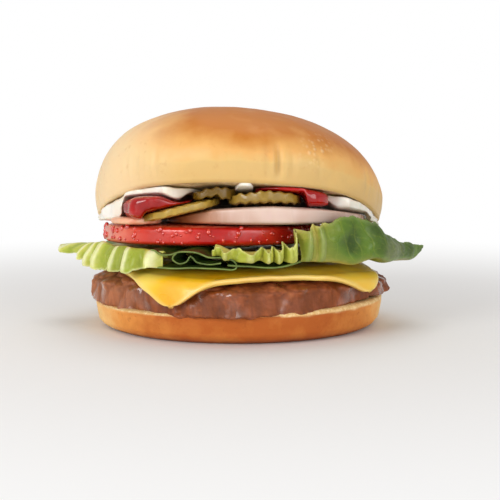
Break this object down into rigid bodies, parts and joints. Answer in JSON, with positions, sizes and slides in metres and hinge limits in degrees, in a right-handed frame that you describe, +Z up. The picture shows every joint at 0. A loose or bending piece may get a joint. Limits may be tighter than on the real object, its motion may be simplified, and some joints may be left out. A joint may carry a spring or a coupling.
{
  "type": "cheeseburger",
  "caption": "Cheeseburger in a plain round bun with a patty, draped cheese, lettuce, tomato, onion, crinkle-cut pickles, ketchup and mayonnaise.",
  "frame": {"origin": "centre of the flat underside of the bottom bun", "axes": "+Z up through the layers, +X to the right and +Y to the back, seen from the side the fillings show on"},
  "size_m": [0.1279, 0.1088, 0.0746],
  "materials": {
    "bun": "baked crumb and crust",
    "patty": "craggy, moist",
    "cheese": "soft gloss",
    "lettuce_pale": "soft sheen",
    "lettuce_dark": "soft sheen",
    "lettuce_green": "soft sheen",
    "tomato": "wet skin",
    "onion": "moist, layered",
    "pickle": "wet, crinkle cut",
    "ketchup": "wet",
    "mayonnaise": "creamy"
  },
  "bodies": {
    "root": {"bun_bottom": "bun", "patty": "patty", "cheese_slice": "cheese", "lettuce_left": "lettuce_pale", "lettuce_fold": "lettuce_dark", "lettuce_frill": "lettuce_pale", "lettuce_right": "lettuce_green", "lettuce_back": "lettuce_green", "tomato_slice": "tomato", "onion_slice": "onion", "pickle_left": "pickle", "pickle_middle": "pickle", "pickle_right": "pickle", "ketchup_left": "ketchup", "ketchup_right": "ketchup", "mayonnaise": "mayonnaise", "bun_top": "bun"}
  },
  "joints": []
}
